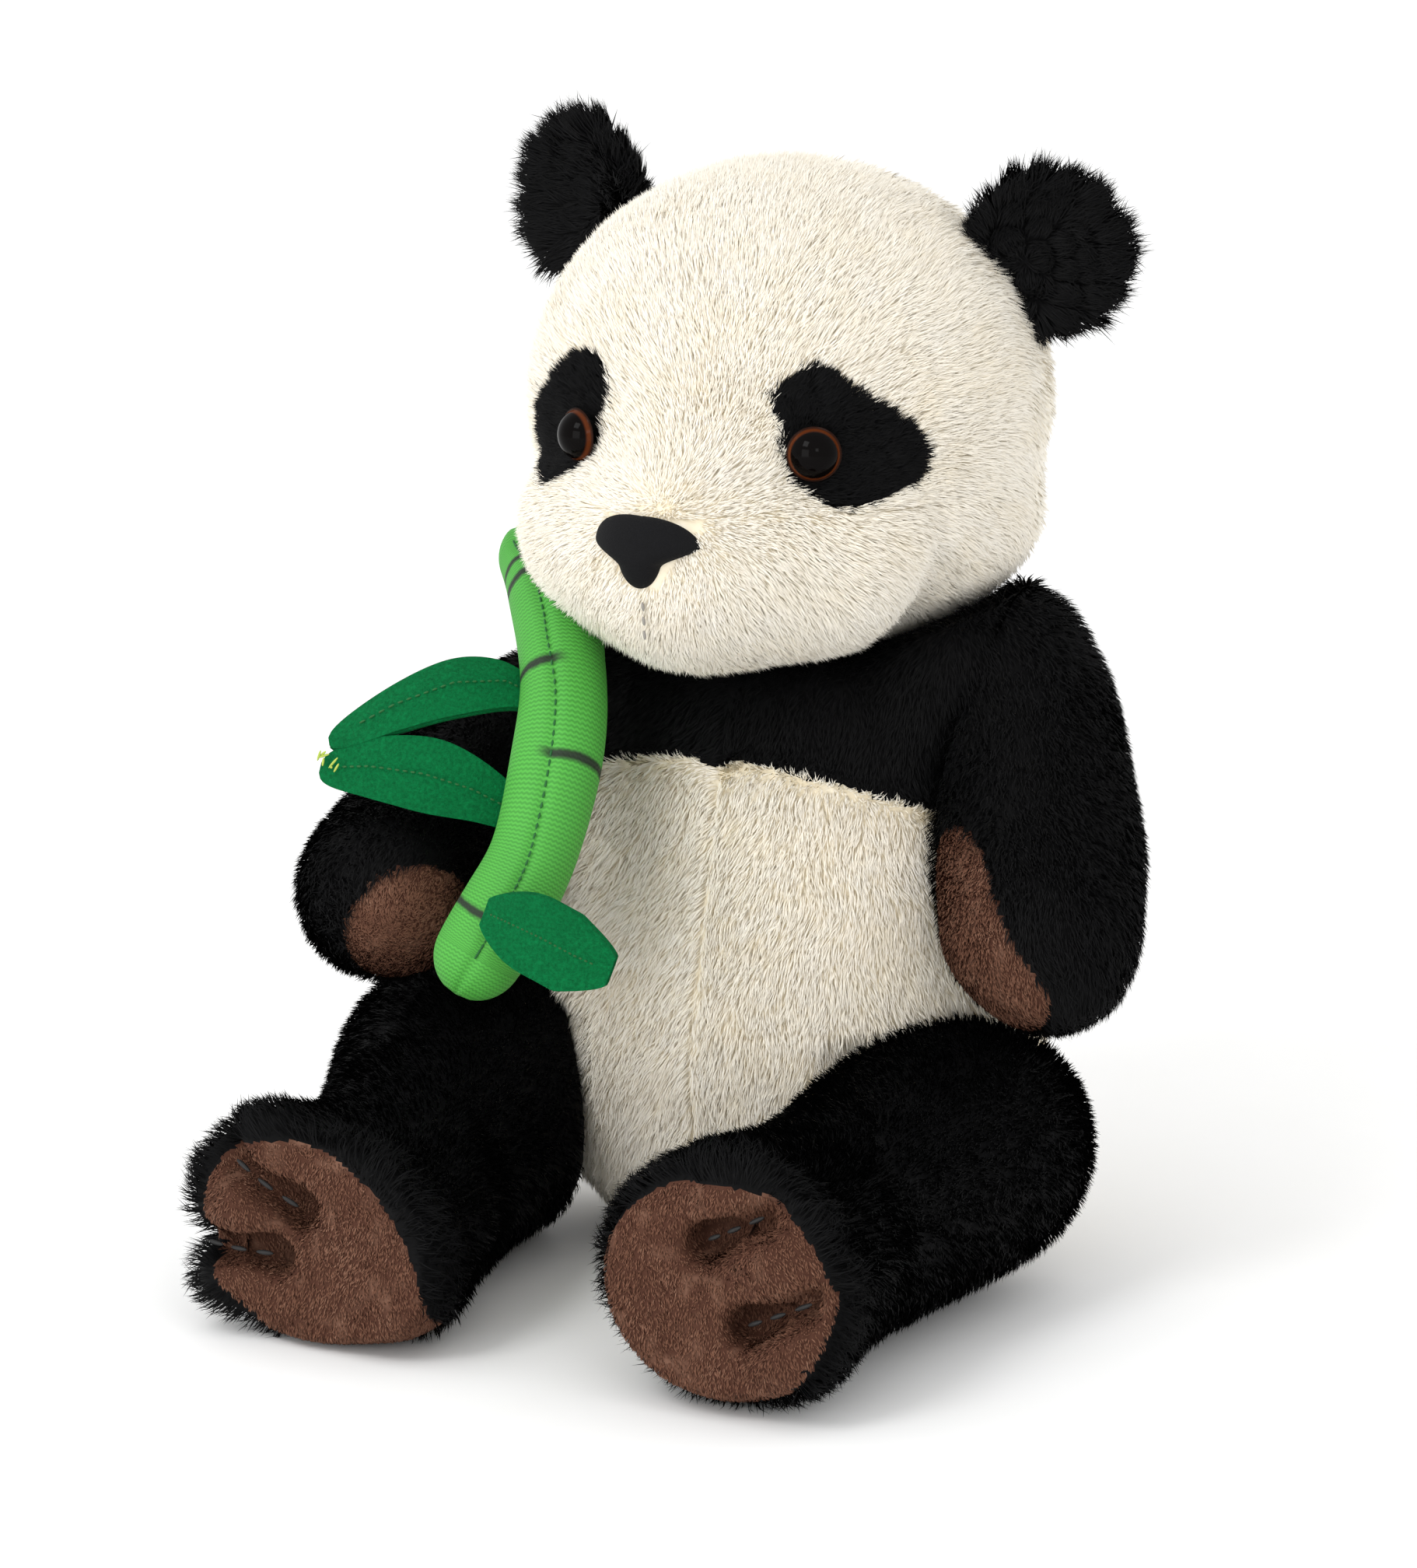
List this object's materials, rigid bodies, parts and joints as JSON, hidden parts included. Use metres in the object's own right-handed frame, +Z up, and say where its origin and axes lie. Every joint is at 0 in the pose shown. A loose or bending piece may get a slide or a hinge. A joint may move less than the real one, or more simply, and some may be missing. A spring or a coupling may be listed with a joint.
{
  "type": "plush panda",
  "caption": "Sitting plush panda in cream and black faux fur with brown pads, glossy eyes and a stuffed green bamboo stalk with felt leaves in one paw.",
  "frame": {"origin": "middle of the flat seat panel under the torso, on the surface it rests on", "axes": "+Z up; the panda faces -Y; its left arm is on the +X side"},
  "size_m": [0.2069, 0.199, 0.27],
  "materials": {
    "cream_plush": "dense cream faux fur, short soft pile combed down",
    "black_plush": "dense black faux fur, short soft pile combed down",
    "brown_plush": "short brown velboa, fine and slightly mottled",
    "eye_plastic": "glossy domed eye with an amber rim behind clear plastic",
    "washer_plastic": "plain moulded plastic, hidden inside",
    "nose_flock": "black flocked nose, matt",
    "grey_thread": "fine stitched grey thread",
    "black_thread": "strong black thread",
    "fibre_filling": "white polyester fibre, hidden inside",
    "pellet_bag": "cloth bag of small plastic pellets, hidden inside",
    "green_knit": "bright green fine rib knit with airbrushed dark node lines",
    "green_thread": "dark green seam thread",
    "green_felt": "dark green needle felt in two layers",
    "yellow_thread": "yellow-green tacking thread"
  },
  "bodies": {
    "torso": {"chest_yoke": "black_plush", "belly_left": "cream_plush", "belly_right": "cream_plush", "back_yoke": "black_plush", "back_lower": "cream_plush", "seat_panel": "cream_plush", "torso_filling": "fibre_filling", "pellet_bag": "pellet_bag"},
    "neck": {"neck_filling": "fibre_filling"},
    "head": {"forehead_gusset": "cream_plush", "cheek_left": "cream_plush", "cheek_right": "cream_plush", "head_back": "cream_plush", "eye_patch_left": "black_plush", "eye_patch_right": "black_plush", "eye_left": "eye_plastic", "eye_right": "eye_plastic", "eye_washer_left": "washer_plastic", "eye_washer_right": "washer_plastic", "nose": "nose_flock", "mouth_stitch": "grey_thread", "head_filling": "fibre_filling"},
    "ear_left": {"ear_left_front": "black_plush", "ear_left_back": "black_plush"},
    "ear_right": {"ear_right_front": "black_plush", "ear_right_back": "black_plush"},
    "arm_left": {"arm_left_outer": "black_plush", "arm_left_inner": "black_plush", "paw_pad_left": "brown_plush", "arm_left_filling": "fibre_filling"},
    "arm_right": {"arm_right_outer": "black_plush", "arm_right_inner": "black_plush", "paw_pad_right": "brown_plush", "arm_right_filling": "fibre_filling"},
    "leg_left": {"leg_left_upper": "black_plush", "leg_left_under": "black_plush", "sole_left": "brown_plush", "toe_stitches_left": "black_thread", "leg_left_filling": "fibre_filling"},
    "leg_right": {"leg_right_upper": "black_plush", "leg_right_under": "black_plush", "sole_right": "brown_plush", "toe_stitches_right": "black_thread", "leg_right_filling": "fibre_filling"},
    "bamboo": {"stalk_cover": "green_knit", "stalk_filling": "fibre_filling", "stalk_seam": "green_thread"},
    "leaf_pair": {"leaf_upper_front": "green_felt", "leaf_upper_back": "green_felt", "leaf_lower_front": "green_felt", "leaf_lower_back": "green_felt", "leaf_tie": "yellow_thread"},
    "small_leaf": {"small_leaf_front": "green_felt", "small_leaf_back": "green_felt"}
  },
  "joints": [
    {"name": "head_turn", "type": "hinge", "parent": "torso", "child": "neck", "pos_m": [0, 0, 0.15], "axis": [0, 0, 1], "range_deg": [-6, 18]},
    {"name": "head_nod", "type": "hinge", "parent": "neck", "child": "head", "pos_m": [0, 0, 0.182], "axis": [1, 0, 0], "range_deg": [-6, 6]},
    {"name": "ear_left_flex", "type": "hinge", "parent": "head", "child": "ear_left", "pos_m": [0.05005, 0.009, 0.23932], "axis": [0.596, 0.2408, -0.766], "range_deg": [-12, 12], "stiffness_Nm_per_rad": 0.02},
    {"name": "ear_right_flex", "type": "hinge", "parent": "head", "child": "ear_right", "pos_m": [-0.05005, 0.009, 0.23932], "axis": [0.596, -0.2408, 0.766], "range_deg": [-12, 12], "stiffness_Nm_per_rad": 0.02},
    {"name": "shoulder_left_raise", "type": "hinge", "parent": "torso", "child": "arm_left", "pos_m": [0.0606, 0.004, 0.14], "axis": [-1, 0, 0], "range_deg": [0, 40]},
    {"name": "shoulder_right_open", "type": "hinge", "parent": "torso", "child": "arm_right", "pos_m": [-0.0606, 0.03, 0.128], "axis": [0, 0, -1], "range_deg": [0, 20]},
    {"name": "hip_left_spread", "type": "hinge", "parent": "torso", "child": "leg_left", "pos_m": [0.0811, 0.0009, 0.031], "axis": [0, 0, 1], "range_deg": [0, 15]},
    {"name": "hip_right_spread", "type": "hinge", "parent": "torso", "child": "leg_right", "pos_m": [-0.0811, 0.0009, 0.031], "axis": [0, 0, -1], "range_deg": [0, 15]},
    {"name": "stalk_tilt", "type": "hinge", "parent": "arm_right", "child": "bamboo", "pos_m": [-0.0405, -0.088, 0.1], "axis": [0.7071, -0.7071, 0], "range_deg": [0, 8]},
    {"name": "leaf_pair_flex", "type": "hinge", "parent": "bamboo", "child": "leaf_pair", "pos_m": [-0.0415, -0.0735, 0.131], "axis": [0, 0, 1], "range_deg": [-8, 8], "stiffness_Nm_per_rad": 0.002},
    {"name": "small_leaf_flex", "type": "hinge", "parent": "bamboo", "child": "small_leaf", "pos_m": [-0.033, -0.1075, 0.091], "axis": [0, 0, 1], "range_deg": [-12, 5], "stiffness_Nm_per_rad": 0.002}
  ]
}
